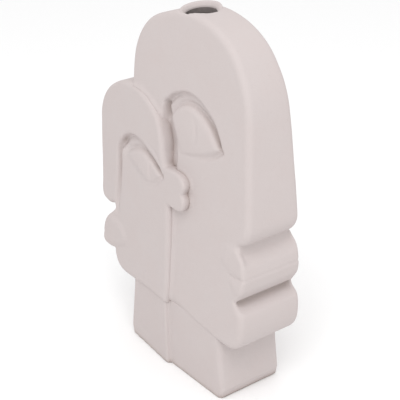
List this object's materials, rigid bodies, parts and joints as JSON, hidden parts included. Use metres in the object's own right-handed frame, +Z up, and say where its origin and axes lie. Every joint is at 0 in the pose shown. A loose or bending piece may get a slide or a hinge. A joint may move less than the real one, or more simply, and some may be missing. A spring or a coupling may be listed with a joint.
{
  "type": "vase",
  "caption": "Flat hand-built clay flower vase in the form of a tall and a small stylised head in profile, with a round stem opening on top.",
  "frame": {"origin": "on the underside of the foot, on the centre line of the tall head's arch, midway between front and back", "axes": "+Z up, +X along the faces towards the tall head's nose, -Y out of the front"},
  "size_m": [0.2005, 0.0696, 0.3016],
  "materials": {
    "bisque": "matte, unglazed, fine-grained off-white clay"
  },
  "bodies": {
    "root": {"back_ear": "bisque", "foot_plate": "bisque", "front_ear": "bisque", "mouth_collar": "bisque", "neck_nose_side": "bisque", "neck_small_side": "bisque", "party_wall": "bisque", "small_back_eyeball": "bisque", "small_back_eyelid": "bisque", "small_back_wall": "bisque", "small_chin_strip": "bisque", "small_crown_strip": "bisque", "small_front_eyeball": "bisque", "small_front_eyelid": "bisque", "small_front_wall": "bisque", "small_lips": "bisque", "small_neck_back": "bisque", "small_neck_front": "bisque", "small_nose_strip": "bisque", "tall_back_eyeball": "bisque", "tall_back_eyelid": "bisque", "tall_back_wall": "bisque", "tall_chin_strip": "bisque", "tall_crown_strip_left": "bisque", "tall_crown_strip_right": "bisque", "tall_front_eyeball": "bisque", "tall_front_eyelid": "bisque", "tall_front_wall": "bisque", "tall_lower_lip": "bisque", "tall_neck_back": "bisque", "tall_neck_front": "bisque", "tall_nose_strip": "bisque", "tall_upper_lip": "bisque"}
  },
  "joints": []
}
